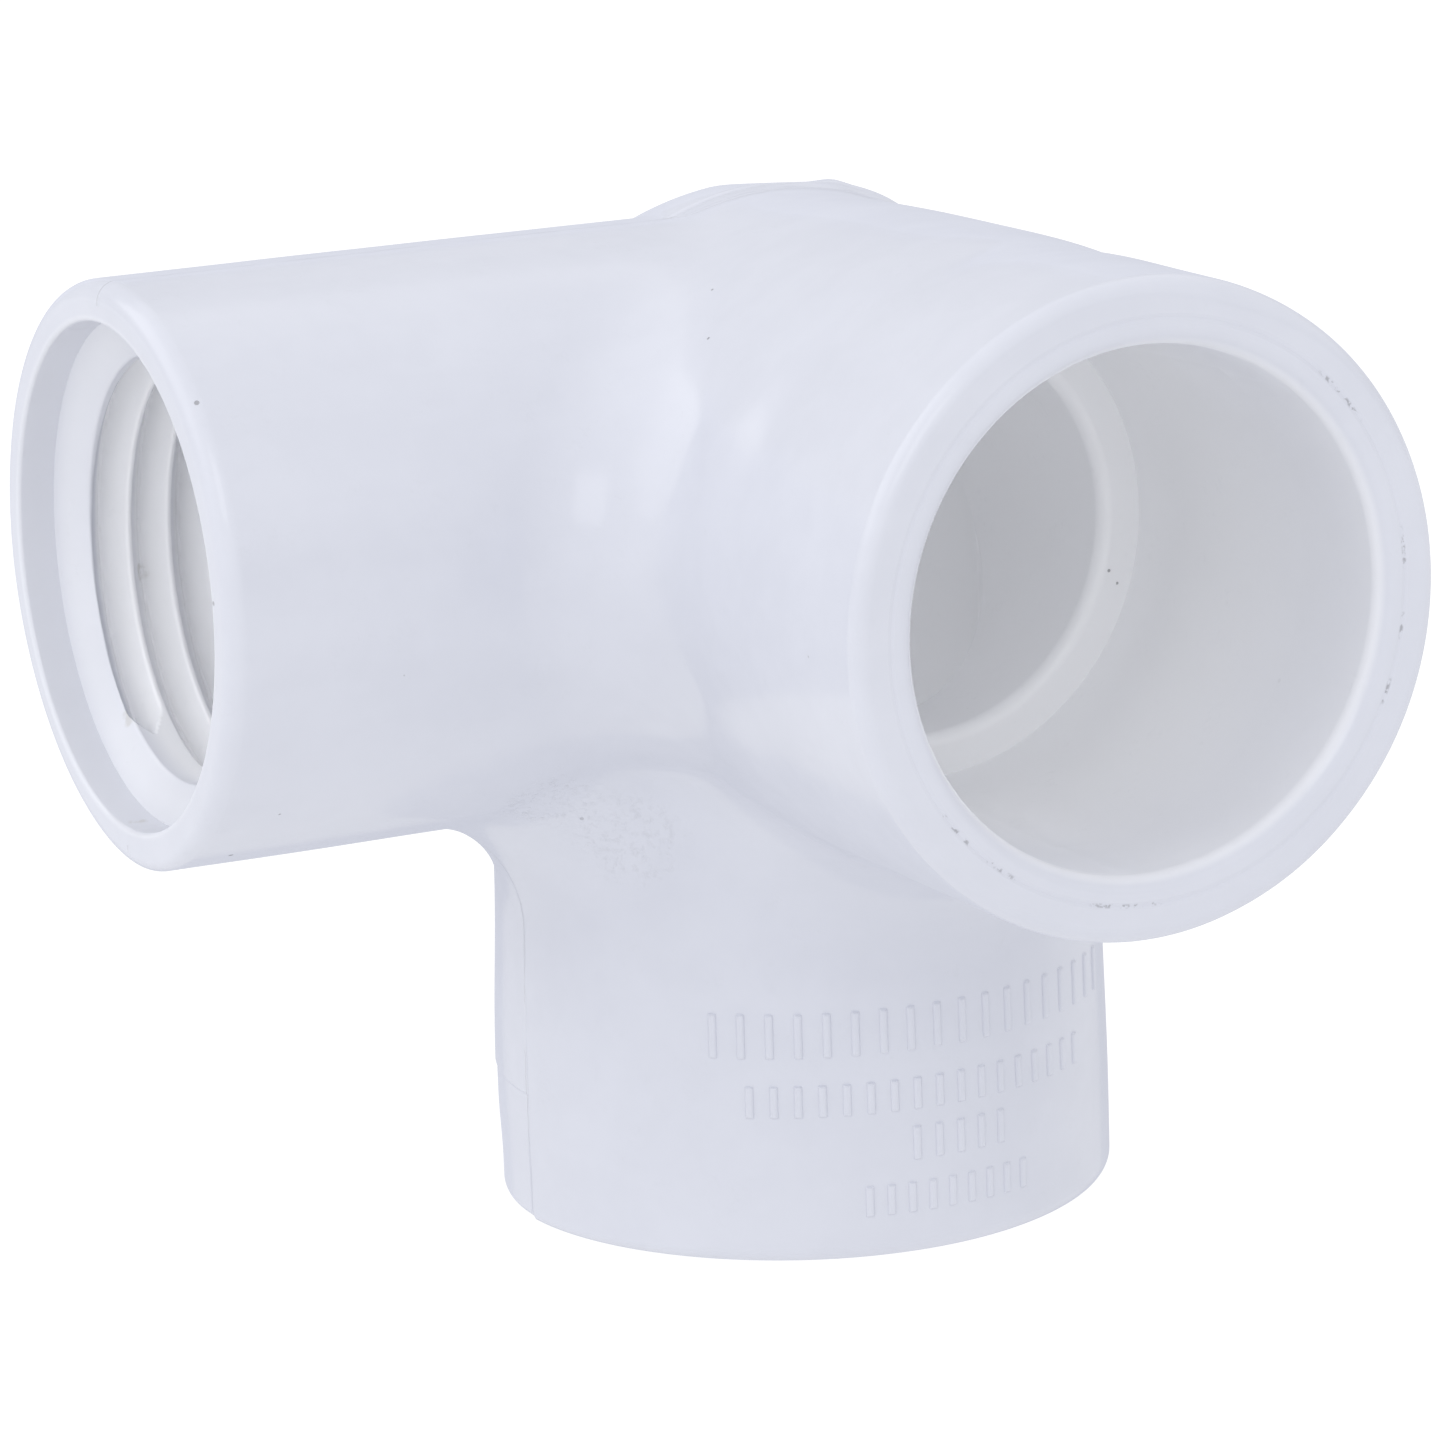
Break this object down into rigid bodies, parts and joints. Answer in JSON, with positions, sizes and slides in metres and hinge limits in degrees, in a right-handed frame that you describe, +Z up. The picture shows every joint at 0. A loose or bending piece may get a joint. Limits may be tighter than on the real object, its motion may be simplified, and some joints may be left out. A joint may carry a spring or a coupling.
{
  "type": "side outlet pipe elbow",
  "caption": "Plastic corner pipe fitting: two plain pipe sockets and one threaded outlet, each at right angles to the others.",
  "frame": {"origin": "the point where the axes of the three outlets cross, inside the corner", "axes": "+Z up; the bottom socket opens to -Z, the front socket to -Y and the threaded outlet to -X"},
  "size_m": [0.0454, 0.0449, 0.0448],
  "materials": {
    "pvc_white": "smooth moulded gloss"
  },
  "bodies": {
    "root": {"corner_body": "pvc_white", "threaded_hub": "pvc_white", "front_socket": "pvc_white", "front_collar": "pvc_white", "bottom_socket": "pvc_white", "bottom_collar": "pvc_white"}
  },
  "joints": []
}
